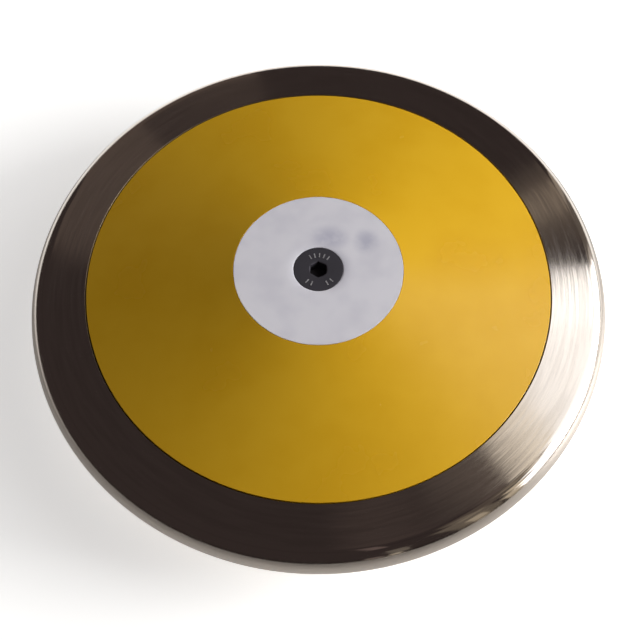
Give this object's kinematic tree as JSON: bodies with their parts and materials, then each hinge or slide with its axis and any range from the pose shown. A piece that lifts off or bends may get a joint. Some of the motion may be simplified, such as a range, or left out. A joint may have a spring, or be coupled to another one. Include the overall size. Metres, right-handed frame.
{
  "type": "throwing discus",
  "caption": "Round throwing discus: a turned steel rim and conical moulded covers, clamped between flat centre plates by a countersunk socket screw on the axis.",
  "frame": {"origin": "middle of the discus, on its axis, midway between the outer faces of its two centre plates", "axes": "+Z along the axis, out of the side that shows the screw's head; +X and +Y lie in the plane of the rim"},
  "size_m": [0.181, 0.181, 0.038],
  "materials": {
    "rim_steel": "satin",
    "cover_plastic": "satin",
    "plate_aluminium": "satin",
    "hub_aluminium": "satin",
    "washer_nylon": "matte",
    "washer_steel": "satin",
    "fastener_steel": "satin"
  },
  "bodies": {
    "root": {"rim": "rim_steel", "upper_cover": "cover_plastic", "lower_cover": "cover_plastic", "upper_centre_plate": "plate_aluminium", "lower_centre_plate": "plate_aluminium", "hub_sleeve": "hub_aluminium", "nylon_trim_washer_1": "washer_nylon", "nylon_trim_washer_2": "washer_nylon", "steel_trim_washer_1": "washer_steel", "steel_trim_washer_2": "washer_steel", "steel_trim_washer_3": "washer_steel", "steel_trim_washer_4": "washer_steel", "centre_screw": "fastener_steel", "sleeve_nut": "fastener_steel"}
  },
  "joints": []
}
